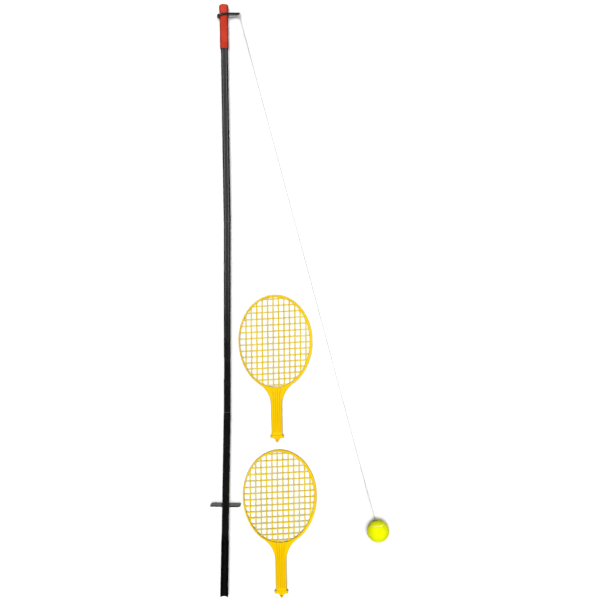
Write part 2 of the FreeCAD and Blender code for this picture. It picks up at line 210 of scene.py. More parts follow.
arm_joint = joints["arm_spin"]
top_along = Vector(joints["top_pull_off"]["axis"])
upper_joint = Vector(arm_joint["pos_m"]) - top_along * ARM_UP
lower_joint = upper_joint - Vector((0, MIDDLE_LENGTH, 0))
bottom = Section(lower_joint, -Vector(mounts["ground_stop"]["axis"]))
middle = Section(lower_joint, (0, 1, 0))
top = Section(upper_joint, top_along)
SCREW_TOP = TOP_LENGTH - CAP_LENGTH
SCREW_FOOT = SCREW_TOP - SCREW_LENGTH

swing = joints["cord_swing"]
loop_at = Vector(swing["pos_m"])
felt_low, felt_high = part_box("felt_cover")
ball_at = (felt_low + felt_high) / 2
BALL_R = (felt_high.z - felt_low.z) / 2
pull = Vector((ball_at.x - loop_at.x, ball_at.y - loop_at.y, 0)).normalized()
arm_knot_at = loop_at + pull * (LOOP_R + KNOT_R * 0.8)
ball_knot_at = ball_at - pull * (BALL_R + BALL_KNOT_R * 0.25)


# ---- camera ----
def make_camera():
    data = bpy.data.cameras.new("camera")
    data.lens = LENS
    data.sensor_width = SENSOR
    camera = bpy.data.objects.new("camera", data)
    camera.location = CAMERA_AT
    bpy.context.scene.collection.objects.link(camera)
    bpy.context.scene.camera = camera


make_camera()


# ---- material helpers ----
class Look:
    """A Principled material whose colour, roughness and bump come from noise in the piece's space."""

    def __init__(self, name, colour, roughness, **sockets):
        self.material = bpy.data.materials.new(name)
        self.material.use_nodes = True
        self.tree = self.material.node_tree
        self.shader = self.tree.nodes["Principled BSDF"]
        self.shader.inputs["Base Color"].default_value = (*colour, 1)
        self.shader.inputs["Roughness"].default_value = roughness
        for key, value in sockets.items():
            self.shader.inputs[key.replace("_", " ")].default_value = value
        self.coordinates = self.tree.nodes.new("ShaderNodeTexCoord")
        self.place = self.coordinates.outputs["Object"]
        self.height = None

    def node(self, kind, **settings):
        made = self.tree.nodes.new(kind)
        for key, value in settings.items():
            setattr(made, key, value)
        return made

    def link(self, source, target):
        self.tree.links.new(source, target)

    def stretched(self, scale):
        mapping = self.node("ShaderNodeMapping")
        mapping.inputs["Scale"].default_value = scale
        self.link(self.place, mapping.inputs["Vector"])
        return mapping.outputs["Vector"]

    def noise(self, scale, detail=4.0, stretch=None):
        noise = self.node("ShaderNodeTexNoise")
        noise.inputs["Scale"].default_value = scale
        noise.inputs["Detail"].default_value = detail
        self.link(self.stretched(stretch) if stretch else self.place, noise.inputs["Vector"])
        return noise.outputs["Fac"]

    def away_from(self, spot):
        away = self.node("ShaderNodeVectorMath", operation="DISTANCE")
        away.inputs[1].default_value = tuple(spot)
        self.link(self.place, away.inputs[0])
        return away.outputs["Value"]

    def ramp(self, source, low, high, from_value=0.0, to_value=1.0):
        ranged = self.node("ShaderNodeMapRange")
        ranged.inputs["From Min"].default_value = low
        ranged.inputs["From Max"].default_value = high
        ranged.inputs["To Min"].default_value = from_value
        ranged.inputs["To Max"].default_value = to_value
        self.link(source, ranged.inputs["Value"])
        return ranged.outputs["Result"]

    def tint(self, source, dark, light, low=0.35, high=0.65):
        """Base colour runs from dark to light with the source."""
        self.colour = self.node("ShaderNodeMix", data_type="RGBA")
        self.colour.inputs["A"].default_value = (*dark, 1)
        self.colour.inputs["B"].default_value = (*light, 1)
        self.link(self.ramp(source, low, high), self.colour.inputs["Factor"])
        self.link(self.colour.outputs["Result"], self.shader.inputs["Base Color"])

    def over(self, source, colour, low, high):
        """Lays one more colour over the base colour so far, where the source is high."""
        below = self.colour
        self.colour = self.node("ShaderNodeMix", data_type="RGBA")
        self.colour.inputs["B"].default_value = (*colour, 1)
        self.link(below.outputs["Result"], self.colour.inputs["A"])
        self.link(self.ramp(source, low, high), self.colour.inputs["Factor"])
        self.link(self.colour.outputs["Result"], self.shader.inputs["Base Color"])

    def rough(self, source, low, high):
        self.link(self.ramp(source, 0.3, 0.7, low, high), self.shader.inputs["Roughness"])

    def bump(self, source, strength, distance):
        bump = self.node("ShaderNodeBump")
        bump.inputs["Strength"].default_value = strength
        bump.inputs["Distance"].default_value = distance
        self.link(source, bump.inputs["Height"])
        if self.height:
            self.link(self.height, bump.inputs["Normal"])
        self.height = bump.outputs["Normal"]
        self.link(self.height, self.shader.inputs["Normal"])


def black_paint(name, roughness):
    """Black enamel: a faint orange peel, dull patches, dust and fine rubs along the tube."""
    look = Look(name, (0.003, 0.003, 0.003), roughness)
    look.tint(look.noise(14, 5), (0.0012, 0.0012, 0.0016), (0.0034, 0.0034, 0.0040))
    rubs = look.noise(90, 3, (1.0, 0.06, 1.0))
    look.over(rubs, (0.016, 0.016, 0.018), 0.66, 0.84)
    look.rough(look.noise(35, 5), roughness - 0.05, roughness + 0.09)
    look.bump(look.noise(420, 2), 0.05, 0.0002)
    look.bump(rubs, 0.04, 0.0001)
    return look


def lever_face_painted_reflection(look):
    """Painted reflection: pale metal in a wedge along the lower edge of the lever, on its face towards the foot,
    where the black face shows a bright reflection.
    """
    slope = 0.36
    softness = 0.0008
    place = look.node("ShaderNodeSeparateXYZ")
    look.link(look.place, place.inputs["Vector"])
    facing = look.node("ShaderNodeSeparateXYZ")
    look.link(look.coordinates.outputs["Normal"], facing.inputs["Vector"])
    axis_x = top.origin.x + top.along.x * ARM_UP
    slant = look.node("ShaderNodeMath", operation="MULTIPLY_ADD")
    look.link(place.outputs["X"], slant.inputs[0])
    slant.inputs[1].default_value = slope
    look.link(place.outputs["Z"], slant.inputs[2])
    edge = slope * (axis_x + 0.015) + top.origin.z + 0.0045
    bare = look.ramp(place.outputs["X"], axis_x + 0.013, axis_x + 0.016)
    for limit in (
        look.ramp(facing.outputs["Y"], -0.6, -0.85),
        look.ramp(slant.outputs["Value"], edge + softness, edge - softness),
    ):
        product = look.node("ShaderNodeMath", operation="MULTIPLY")
        look.link(bare, product.inputs[0])
        look.link(limit, product.inputs[1])
        bare = product.outputs["Value"]
    # Painted reflection: the pale metal wedge stands in for the bright reflection on the lever's face.
    look.over(bare, (0.86, 0.85, 0.88), 0.0, 1.0)
    look.link(bare, look.shader.inputs["Metallic"])
    return look


def bare_steel():
    look = Look("bare_steel", (0.30, 0.30, 0.31), 0.3, Metallic=1.0)
    drawn = look.noise(260, 4, (1.0, 0.05, 1.0))
    look.tint(drawn, (0.22, 0.22, 0.23), (0.40, 0.40, 0.41))
    look.rough(look.noise(60, 4), 0.22, 0.42)
    look.bump(drawn, 0.2, 0.0001)
    return look.material


def orange_plastic():
    look = Look("orange_plastic", (0.52, 0.036, 0.012), 0.28, Specular_IOR_Level=0.2)
    look.tint(look.noise(45, 4), (0.47, 0.027, 0.008), (0.56, 0.042, 0.014))
    look.rough(look.noise(120, 5), 0.26, 0.44)
    look.bump(look.noise(900, 2), 0.08, 0.0001)
    return look.material


def yellow_plastic(name, dark, light):
    """Moulded plastic with slow flow marks, a fine satin grain and a few pale scuffs."""
    look = Look(name, light, 0.36, Specular_IOR_Level=0.12)
    look.tint(look.noise(16, 3, (1.0, 0.35, 1.0)), dark, light)
    scuffs = look.noise(160, 3, (1.0, 0.12, 1.0))
    look.over(scuffs, tuple(min(1.0, c * 1.1 + 0.006) for c in light), 0.68, 0.80)
    # Painted shade in the bottom of the handle's flutes.
    flute_shade = look.node("ShaderNodeAttribute", attribute_name="flute_shade").outputs["Fac"]
    look.over(flute_shade, (dark[0] * 0.84, dark[1] * 0.72, dark[2]), 0.1, 1.1)
    look.rough(look.noise(70, 5), 0.28, 0.46)
    look.bump(look.noise(1100, 2), 0.07, 0.0001)
    look.bump(scuffs, 0.05, 0.0001)
    return look.material


def felt_cloth():
    """Napped felt: short matted fibres lying every way, paler where the nap stands up."""
    look = Look(
        "felt", (0.86, 0.92, 0.002), 0.95,
        Specular_IOR_Level=0.05,
        Sheen_Weight=0.8,
        Sheen_Roughness=0.6,
        Sheen_Tint=(0.92, 1.0, 0.03, 1),
        Subsurface_Weight=0.8,
        Subsurface_Radius=(0.012, 0.012, 0.003),
    )
    nap = look.noise(700, 6)
    clumps = look.noise(110, 4)
    look.tint(clumps, (0.80, 0.90, 0.001), (0.88, 0.94, 0.002), 0.3, 0.7)
    look.over(nap, (0.93, 0.97, 0.008), 0.60, 0.85)
    # Painted shade round the hole where the cord goes in.
    look.over(look.away_from(ball_knot_at), (0.09, 0.085, 0.05), 0.0085, 0.0050)
    look.bump(clumps, 0.2, 0.0008)
    look.bump(nap, 0.4, 0.0004)
    return look.material


def seam_rubber():
    look = Look("seam_rubber", (0.94, 0.92, 0.22), 0.6, Specular_IOR_Level=0.1)
    look.tint(look.noise(300, 4), (0.90, 0.88, 0.18), (0.98, 0.96, 0.28))
    look.rough(look.noise(200, 3), 0.5, 0.7)
    look.bump(look.noise(800, 3), 0.2, 0.0002)
    return look.material


def cord_yarn():
    """White yarn with fine filaments along each strand, darker near the ball's knot."""
    look = Look("cord_yarn", (0.68, 0.68, 0.67), 0.75, Specular_IOR_Level=0.2, Sheen_Weight=0.05)
    look.tint(look.noise(120, 5), (0.57, 0.57, 0.56), (0.71, 0.71, 0.70))
    # Darker near the ball's knot.
    look.over(look.away_from(ball_knot_at), (0.20, 0.19, 0.13), 0.016, 0.004)
    filaments = look.noise(3000, 3)
    look.rough(filaments, 0.65, 0.85)
    look.bump(filaments, 0.4, 0.0001)
    return look.material


def black_rubber():
    look = Look("black_rubber", (0.05, 0.05, 0.045), 0.7)
    look.tint(look.noise(150, 4), (0.04, 0.04, 0.036), (0.07, 0.07, 0.06))
    look.bump(look.noise(500, 4), 0.2, 0.0003)
    return look.material


tube_paint = black_paint("tube_paint", 0.24).material
arm_paint = lever_face_painted_reflection(black_paint("arm_paint", 0.30)).material
steel = bare_steel()
orange = orange_plastic()
bat_yellow = yellow_plastic("bat_yellow", (0.78, 0.50, 0.0006), (0.84, 0.57, 0.0010))
grid_yellow = yellow_plastic("grid_yellow", (0.70, 0.52, 0.001), (0.78, 0.60, 0.002))
felt = felt_cloth()
seam_look = seam_rubber()
yarn = cord_yarn()
rubber = black_rubber()


# ---- the cord ----
cord_from = arm_knot_at + pull * KNOT_R * 0.6
cord_to = ball_knot_at - pull * BALL_KNOT_R * 0.6


def cord_route():
    """(distance along the line from the arm to the ball, height) of each point, as in the part."""
    total = (cord_to - cord_from).dot(pull)
    floor_z = CORD_R + 0.00005
    heights = [
        (0, loop_at.z),
        (0.026, 0.0200),
        (0.062, 0.0166),
        (0.100, 0.0100),
        (0.140, 0.0042),
        (0.186, 0.0016),
        (0.236, floor_z),
        (0.286, floor_z),
        (total - 0.250, floor_z),
        (total - 0.200, floor_z),
        (total - 0.150, 0.0024),
        (total - 0.105, 0.0084),
        (total - 0.064, 0.0190),
        (total - 0.028, 0.0292),
        (total, BALL_R),
    ]
    return [(*(cord_from + pull * along).xy, z) for along, z in heights]


def spline_points(route):
    """Points read from a NURBS spline that has the route as its control points."""
    data = bpy.data.curves.new("route", "CURVE")
    data.dimensions = "3D"
    data.resolution_u = 24
    spline = data.splines.new("NURBS")
    spline.points.add(len(route) - 1)
    for point, spot in zip(spline.points, route):
        point.co = (*spot, 1)
    spline.order_u = 3
    spline.use_endpoint_u = True
    holder = bpy.data.objects.new("route", data)
    bpy.context.scene.collection.objects.link(holder)
    bpy.context.view_layer.update()
    line = bpy.data.meshes.new_from_object(holder)
    points = np.array([v.co[:] for v in line.vertices])
    bpy.data.objects.remove(holder)
    return points


def evenly(points, step):
    """The same line with points a fixed step apart."""
    lengths = np.linalg.norm(np.diff(points, axis=0), axis=1)
    travelled = np.concatenate([[0], np.cumsum(lengths)])
    count = max(3, int(round(travelled[-1] / step)) + 1)
    wanted = np.linspace(0, travelled[-1], count)
    return np.stack([np.interp(wanted, travelled, points[:, k]) for k in range(3)], 1)


def frames_along(points, closed=False):
    """A steady pair of sideways directions at every point of a line."""
    if closed:
        ahead = np.roll(points, -1, 0) - np.roll(points, 1, 0)
    else:
        ahead = np.gradient(points, axis=0)
    ahead /= np.linalg.norm(ahead, axis=1)[:, None]
    side = np.cross(ahead[0], (0, 0, 1.0))
    if np.linalg.norm(side) < 0.1:
        side = np.cross(ahead[0], (1.0, 0, 0))
    sides = []
    for direction in ahead:
        side = side - direction * side.dot(direction)
        side = side / np.linalg.norm(side)
        sides.append(side)
    sides = np.array(sides)
    return sides, np.cross(ahead, sides)


def tube_mesh(points, radius, count=8, closed=False):
    """(vertices, faces) of a tube along a line."""
    sides, ups = frames_along(points, closed)
    turns = np.linspace(0, 2 * math.pi, count, endpoint=False)
    ring = sides[:, None] * np.cos(turns)[None, :, None] + ups[:, None] * np.sin(turns)[None, :, None]
    return shell(points[:, None] + ring * radius, closed)


def rope(points, strands=3, lay=0.008, closed=False):
    """Twisted strands that together have the cord's own radius."""
    sides, ups = frames_along(points, closed)
    step = np.linalg.norm(np.diff(points, axis=0), axis=1).mean()
    turns_made = len(points) * step / lay
    if closed:
        turns_made = round(turns_made)
    phase = np.linspace(0, 2 * math.pi * turns_made, len(points), endpoint=not closed)
    offset = CORD_R * 0.46
    parts = []
    for k in range(strands):
        angle = phase + 2 * math.pi * k / strands
        line = points + offset * (sides * np.cos(angle)[:, None] + ups * np.sin(angle)[:, None])
        parts.append(tube_mesh(line, CORD_R - offset, closed=closed))
    return parts


def knot_line(centre, size, along, count=90):
    """An overhand knot drawn tight: a trefoil seen along the cord."""
    t = np.linspace(0, 2 * math.pi, count, endpoint=False)
    flat = np.stack([
        (np.sin(t) + 2 * np.sin(2 * t)) / 3,
        (np.cos(t) - 2 * np.cos(2 * t)) / 3,
        -np.sin(3 * t) * 0.62,
    ], 1) * size
    turn = Vector(along).to_track_quat("Z", "Y").to_matrix()
    return np.array([tuple(centre + turn @ Vector(p)) for p in flat])


def make_cord():
    line = evenly(spline_points(cord_route()), 0.001)
    cord = joined("cord_twist", rope(line))
    finish_piece(cord, "line", "cord", yarn, "cord", sharp=0)

    t = np.linspace(0, 2 * math.pi, 96, endpoint=False)
    ring = np.stack([loop_at.x + LOOP_R * np.cos(t), loop_at.y + LOOP_R * np.sin(t), 0 * t + loop_at.z], 1)
    loop = joined("eye_loop", rope(ring, closed=True, lay=0.0062))
    finish_piece(loop, "line", "cord", yarn, "cord_loop", sharp=0)

    for name, spot, size, thick, node in (
        ("arm_knot", arm_knot_at, 0.00205, 0.00098, "loop_knot"),
        ("entry_knot", ball_knot_at, 0.00215, 0.00100, "ball_knot"),
    ):
        knot = joined(name, [tube_mesh(knot_line(spot, size, pull), thick, 10, True)])
        finish_piece(knot, "line", "cord", yarn, node, sharp=0)


make_cord()


# ---- pole ----
def lip(y, outer, inner, way, rounding=0.0004):
    """The rounded edge of a tube's mouth; way is +1 where the mouth faces up the pole."""
    points = []
    for a in np.linspace(0, math.pi / 2, 5):
        points.append((y - way * rounding * (1 - math.sin(a)), outer - rounding * (1 - math.cos(a))))
    for a in np.linspace(0, math.pi / 2, 5):
        points.append((y - way * rounding * (1 - math.cos(a)), inner + rounding * (1 - math.sin(a))))
    return points


def tube_profile(low, high, outer, wall, steps):
    """A closed outline of a tube's wall: up the outside, over the lip and down the inside."""
    inner = outer - wall
    outside = [(y, outer) for y in np.linspace(low + MOUTH, high - MOUTH, steps)]
    inside = [(y, inner) for y in np.linspace(high - MOUTH, low + MOUTH, 12)]
    return outside + lip(high, outer, inner, 1) + inside + lip(low, outer, inner, -1)[::-1]


def make_middle_tube():
    wall = tube_profile(GAP / 2, MIDDLE_LENGTH - GAP / 2, TUBE_R, WALL, 420)
    piece = middle.lathe("middle_pole", wall, 128, True)
    start, stop, depth, shoulder = DENT
    axis_x = middle.origin.x
    for vertex in piece.data.vertices:
        along = vertex.co.y - middle.origin.y
        edge = min(along - start, stop - along) / shoulder
        if edge <= 0:
            continue
        limit = axis_x - TUBE_R + depth * smooth_step(min(1.0, edge))
        if vertex.co.x < limit and abs(vertex.co.z - middle.origin.z) < TUBE_R:
            vertex.co.x = limit
    finish_piece(piece, "middle_section", "black_paint", tube_paint, "middle_tube")


def make_top_tube():
    wall = tube_profile(GAP / 2, SCREW_TOP - 0.001, END_TUBE_R, WALL, 60)
    piece = top.lathe("top_pole", wall, 128, True)
    finish_piece(piece, "top_section", "black_paint", tube_paint, "top_tube")


def on_circle(radius, angle):
    """A point x, z of a circle about the pole; the angle is from straight down."""
    return radius * math.sin(angle), -radius * math.cos(angle)


def gutter_ring(y, amount, radius):
    """The pole's outline y down from the lower joint, from round (amount 0) to a gutter (1)."""
    # The gutter's outside ends at the angle a, and its rims take the round pole's a to b.
    a = SPIKE_HALF_ANGLE
    b = math.pi - a * 0.86
    inner = radius - SPIKE_THICK
    points = []

    def blend(round_angle, gutter):
        round_x, round_z = on_circle(END_TUBE_R, round_angle)
        x = round_x * (1 - amount) + gutter[0] * amount
        z = round_z * (1 - amount) + (gutter[1] + SPIKE_R - END_TUBE_R) * amount
        points.append(tuple(bottom.at(x, -y, z)))

    def rim(side_angle, first_turn, round_from):
        x, z = on_circle((radius + inner) / 2, side_angle)
        for k in range(10):
            out_x, out_z = on_circle(SPIKE_THICK / 2, first_turn + math.pi * k / 10)
            blend(round_from + (b - a) * k / 10, (x + out_x, z + out_z))

    for k in range(40):
        angle = -a + 2 * a * k / 40
        blend(angle, on_circle(radius, angle))
    rim(a, a, a)
    for k in range(40):
        blend(b + (2 * math.pi - 2 * b) * k / 40, on_circle(inner, a - 2 * a * k / 40))
    rim(-a, math.pi - a, -b)
    return points


def make_bottom_tube():
    pressed_r = SPIKE_R - 0.0006
    rows = []
    for y in np.linspace(BOTTOM_LENGTH, SPIKE_FULL, 60):
        taper = (BOTTOM_LENGTH - y) / (BOTTOM_LENGTH - SPIKE_FULL)
        rows.append(gutter_ring(y, 1.0, SPIKE_R + (pressed_r - SPIKE_R) * taper))
    for f in np.linspace(1, 0, 24)[1:]:
        rows.append(gutter_ring(SPIKE_START + (SPIKE_FULL - SPIKE_START) * f, smooth_step(f), pressed_r))
    for y in np.linspace(SPIKE_START, GAP / 2 + MOUTH, 60)[1:]:
        rows.append(gutter_ring(y, 0.0, SPIKE_R))
    # The mouth, and a short way down inside it.
    spokes = (np.array(rows[-1]) - np.array(bottom.at(0, -GAP / 2 - MOUTH, 0))) / END_TUBE_R
    bore_r = END_TUBE_R - WALL
    for y, radius in lip(-GAP / 2, END_TUBE_R, bore_r, 1) + [(-0.03, bore_r)]:
        rows.append((np.array(bottom.at(0, y, 0)) + spokes * radius).tolist())
    piece = joined("bottom_pole", [shell(rows)])
    finish_piece(piece, "ground_section", "black_paint", tube_paint, "bottom_tube", sharp=50)


def make_weld():
    """Overlapping ripples of weld all round the tube, on the foot plate's upper face."""
    count = 120
    foot_r = END_TUBE_R - 0.0004
    rows = []
    for i in range(count):
        turn = 2 * math.pi * i / count
        reach = WELD + (0.00022 * math.sin(turn * 26) + 0.00012 * math.sin(turn * 7 + 1))
        row = []
        for f in np.linspace(0, math.pi / 2, 9):
            hollow = 1 - 0.25 * math.sin(2 * f)
            radius = END_TUBE_R - 0.0002 + reach * math.cos(f) * hollow
            rise = reach * math.sin(f) * hollow
            row.append(tuple(bottom.at(radius * math.cos(turn), rise - PLATE_DROP, radius * math.sin(turn))))
        row.append(tuple(bottom.at(foot_r * math.cos(turn), -PLATE_DROP, foot_r * math.sin(turn))))
        rows.append(row)
    piece = joined("weld_bead", [shell(rows, loop=True)])
    finish_piece(piece, "ground_section", "black_paint", tube_paint, "plate_weld", sharp=60)


def bevelled(node, material, width):
    """A CAD piece that keeps its shape, with softened edges and a better material."""
    piece = frame["nodes"][node]
    set_material(piece, material)
    bevel = piece.modifiers.new("edges", "BEVEL")
    bevel.width = width
    bevel.segments = 3
    bevel.limit_method = "ANGLE"
    bevel.angle_limit = math.radians(40)
    bevel.use_clamp_overlap = True


make_middle_tube()
make_top_tube()
make_bottom_tube()
make_weld()
bevelled("foot_plate", tube_paint, 0.0004)
bevelled("swivel_arm", arm_paint, 0.0006)
for steel_node in ("lower_spigot", "upper_spigot", "follower_nut"):
    bevelled(steel_node, steel, 0.0002)


# ---- spiral top ----
def make_screw():
    """A moulded screw: a rounded rib winds round the root, and fades out at both ends."""
    count = 96
    bare, fading = 0.001, 0.004
    rib_half, rib_edge = 0.00145, 0.00022
    rows = []
    for y in np.linspace(0, SCREW_LENGTH, int(SCREW_LENGTH / 0.0004)):
        fade = min(1.0, max(0.0, (y - bare) / fading), max(0.0, (SCREW_LENGTH - bare - y) / fading))
        row = []
        for j in range(count):
            turn = 2 * math.pi * j / count
            # Right-handed: seen from the top end the rib climbs as it goes anticlockwise.
            place = ((y - PITCH / 2) / PITCH + turn / (2 * math.pi)) % 1.0
            distance = min(place, 1 - place) * PITCH
            rib = 1 / (1 + math.exp((distance - rib_half) / rib_edge))
            radius = SCREW_ROOT_R + (SCREW_CREST_R - SCREW_ROOT_R) * rib * fade
            row.append(tuple(top.at(radius * math.cos(turn), SCREW_FOOT + y, radius * math.sin(turn))))
        rows.append(row)
    for y in (SCREW_LENGTH, 0):
        rows.append(top.ring(SCREW_FOOT + y, END_TUBE_R + 0.0001, count))
    piece = joined("spiral_thread", [shell(rows, loop=True)])
    finish_piece(piece, "top_section", "orange_plastic", orange, "spiral_screw", sharp=50)


def make_cap():
    """The crown: a sunken foot in the tube, a fine groove, a round shoulder and a small mould mark."""
    rounding = 0.0045
    foot_r = END_TUBE_R - 0.0003
    profile = [(-0.0009, 0.0004), (-0.0009, foot_r), (0.0001, foot_r)]
    profile += [(0.0001, CAP_FOOT_R - 0.0005), (0.0006, CAP_FOOT_R)]
    for y in np.linspace(0.002, CAP_LENGTH - rounding, 24):
        groove = 0.0002 * math.exp(-((y - 0.0042) / 0.0005) ** 2)
        profile.append((y, CAP_FOOT_R + (CAP_R - CAP_FOOT_R) * y / CAP_LENGTH - groove))
    for a in np.linspace(0, math.pi / 2, 13)[1:]:
        radius = CAP_R - 0.00015 - rounding * (1 - math.cos(a))
        profile.append((CAP_LENGTH - rounding * (1 - math.sin(a)), radius))
    mark = ((0, 0.0052), (0.0003, 0.0044), (0.0003, 0.0012), (0.0001, 0.0008), (0.0001, 0.0002))
    profile += [(CAP_LENGTH - sunk, radius) for sunk, radius in mark]
    piece = top.lathe("crown_cap", [(SCREW_TOP + y, radius) for y, radius in profile])
    finish_piece(piece, "top_section", "orange_plastic", orange, "top_cap")


make_screw()
make_cap()


# ---- ball ----
def seam_line(count):
    """The seam of a two-panel ball: a curve on the sphere with four lobes."""
    t = np.linspace(0, 2 * math.pi, count, endpoint=False)
    a, b = 0.85, 0.15
    c = 2 * math.sqrt(a * b)
    curve = np.stack([
        a * np.cos(t) + b * np.cos(3 * t),
        a * np.sin(t) - b * np.sin(3 * t),
        c * np.sin(2 * t),
    ], 1)
    turn = Euler((math.radians(-1.9), math.radians(5.7), math.radians(-129.1))).to_matrix()
    return curve @ np.array(turn).T


def make_cover(seam, rng):
    """The felt, sunk along the seam, with a slight uneven nap."""
    sphere = bpy.data.meshes.new("sphere")
    made = bmesh.new()
    bmesh.ops.create_icosphere(made, subdivisions=7, radius=1.0)
    made.to_mesh(sphere)
    made.free()
    normals = np.array([v.co[:] for v in sphere.vertices])
    normals /= np.linalg.norm(normals, axis=1)[:, None]
    nearest = np.full(len(normals), -1.0)
    for start in range(0, len(seam), 60):
        nearest = np.maximum(nearest, (normals @ seam[start:start + 60].T).max(1))
    away = np.arccos(np.clip(nearest, -1, 1)) * BALL_R
    groove = np.exp(-(away / 0.0020) ** 4)
    waves = rng.normal(size=(40, 3)) * 60
    phases = rng.uniform(0, 2 * math.pi, 40)
    nap = np.sin(normals @ waves.T + phases).mean(1)
    fine = np.sin(normals @ (waves.T * 2.7) + phases * 1.7).mean(1)
    lift = 0.0003 * nap + 0.0003 * fine
    radius = BALL_R - 0.0003 - 0.0011 * groove + lift * (1 - groove)
    radius = np.minimum(radius, BALL_R)
    vertices = np.array(ball_at) + normals * radius[:, None]
    cover = add_mesh("felt_ball", vertices, [tuple(p.vertices) for p in sphere.polygons])
    finish_piece(cover, "line", "felt", felt, "felt_cover", sharp=0)


def make_seam(seam):
    line = np.array(ball_at) + seam * (BALL_R - 0.0019)
    strip = joined("ball_seam", [tube_mesh(line, 0.0015, 10, True)])
    finish_piece(strip, "line", "rubber", seam_look, sharp=0)


def fibre(spot, rng):
    """(vertices, faces) of one hair of felt: it leans over, bends at its middle and ends in a point."""
    centre = np.array(ball_at)
    thick = 0.00007
    lean = rng.normal(size=3) * 0.9
    lean -= spot * lean.dot(spot)
    root = centre + spot * (BALL_R - 0.0011)
    reach = rng.uniform(0.0008, 0.0016)
    bend = root + (spot * 0.6 + lean * 0.6) * reach
    tip = root + (spot * 0.75 + lean * 1.3) * reach
    out = np.linalg.norm(tip - centre)
    if out > BALL_R:
        tip = centre + (tip - centre) * BALL_R / out
    side = np.cross(spot, lean)
    side /= np.linalg.norm(side) + 1e-9
    up = np.cross(side, spot)
    spokes = [side * math.cos(q) + up * math.sin(q) for q in (0, 2.1, 4.2)]
    ring = [root + thick * spoke for spoke in spokes]
    mid = [bend + thick * 0.8 * spoke for spoke in spokes]
    faces = [(0, 2, 1), (0, 1, 4, 3), (1, 2, 5, 4), (2, 0, 3, 5), (3, 4, 6), (4, 5, 6), (5, 3, 6)]
    return [*ring, *mid, tip], faces


def make_fuzz(seam, rng):
    spots = rng.normal(size=(9000, 3))
    spots /= np.linalg.norm(spots, axis=1)[:, None]
    clear = np.arccos(np.clip((spots @ seam.T).max(1), -1, 1)) * BALL_R > 0.0024
    fuzz = joined("felt_fuzz", [fibre(spot, rng) for spot in spots[clear]])
    finish_piece(fuzz, "line", "felt", felt, sharp=0)


def make_ball():
    seam = seam_line(720)
    rng = np.random.default_rng(7)
    make_cover(seam, rng)
    make_seam(seam)
    make_fuzz(seam, rng)
    set_material(frame["nodes"]["rubber_core"], rubber)


make_ball()


# ---- bats ----
def egg_point(turn, inset=0.0):
    height = (BAT_TOP if math.sin(turn) > 0 else BAT_LOW) - inset
    return ((BAT_HALF_WIDTH - inset) * math.cos(turn), height * math.sin(turn))


def throat_fillet():
    """(centre height, angle on the egg) of the arc that joins the head to the handle."""
    centre_x = HANDLE_HALF + THROAT_FILLET

    def gap(centre_y):
        distances = [
            (math.dist((centre_x, centre_y), egg_point(t)), t)
            for t in np.linspace(-math.pi / 2, 0, 400)
        ]
        return min(distances)

    low, high = -0.30, -0.14
    for _ in range(40):
        centre_y = (low + high) / 2
        if gap(centre_y)[0] > THROAT_FILLET:
            low = centre_y
        else:
            high = centre_y
    return centre_y, gap(centre_y)[1]


def bat_outline():
    """The head, the throat's two arcs and the handle's sides, anticlockwise."""
    centre_y, touch = throat_fillet()
    points = [egg_point(t) for t in np.linspace(touch, math.pi - touch, 180)]
    centre_x = HANDLE_HALF + THROAT_FILLET
    meet = egg_point(touch)
    sweep = math.atan2(meet[1] - centre_y, meet[0] - centre_x)
    angles = np.linspace(sweep, math.pi, 24)[1:]
    right = [
        (centre_x + THROAT_FILLET * math.cos(a), centre_y + THROAT_FILLET * math.sin(a))
        for a in angles
    ]
    points += [(-x, y) for x, y in right]
    # The head's plate runs on a little way inside the handle.
    points += [(-HANDLE_HALF, GRIP_TOP - 0.03), (HANDLE_HALF, GRIP_TOP - 0.03)]
    points += right[::-1]
    return points


def opening_outline(inset):
    """Where the strings are: the egg drawn in, closed at the throat by a shallow arc."""
    reach = BAT_LOW - inset
    end = math.asin(BAT_THROAT / reach)
    points = [egg_point(t, inset) for t in np.linspace(end, math.pi - end, 180)]
    half = points[0][0]
    radius = (half ** 2 + THROAT_SAG ** 2) / (2 * THROAT_SAG)
    spread = math.asin(half / radius)
    for a in np.linspace(-spread, spread, 16)[1:-1]:
        sag = radius * math.cos(a) - radius * math.cos(spread)
        points.append((radius * math.sin(a), BAT_THROAT - sag))
    return [(x + OPENING_SHIFT, y) for x, y in points]


def flat_mesh(outlines, depth, rounding):
    """A plate with softly rounded edges from closed outlines; the second outline is a hole."""
    data = bpy.data.curves.new("flat", "CURVE")
    data.dimensions = "2D"
    data.fill_mode = "BOTH"
    data.extrude = depth / 2 - rounding
    data.bevel_depth = rounding
    data.bevel_resolution = 3
    data.offset = -rounding
    for outline in outlines:
        spline = data.splines.new("POLY")
        spline.points.add(len(outline) - 1)
        for point, spot in zip(spline.points, outline):
            point.co = (*spot, 0, 1)
        spline.use_cyclic_u = True
    holder = bpy.data.objects.new("flat", data)
    bpy.context.scene.collection.objects.link(holder)
    bpy.context.view_layer.update()
    mesh = bpy.data.meshes.new_from_object(holder)
    bpy.data.objects.remove(holder)
    return mesh


def grip_part():
    """The handle: a rounded bar, a little deeper than the head."""
    blend_top, blend_length = GRIP_TOP + 0.012, 0.024
    rows = []
    for y in np.linspace(HANDLE_END, blend_top, 90):
        ease = smooth_step(min(1.0, max(0.0, (blend_top - y) / blend_length)))
        depth = (BAT_RIM_DEPTH + (HANDLE_DEPTH - BAT_RIM_DEPTH) * ease) / 2 - 0.0001
        row = []
        for k in range(64):
            x, z = rounded_square(2 * math.pi * k / 64, 0.42)
            row.append((HANDLE_HALF * x, y, depth * z))
        rows.append(row)
    return shell(rows)


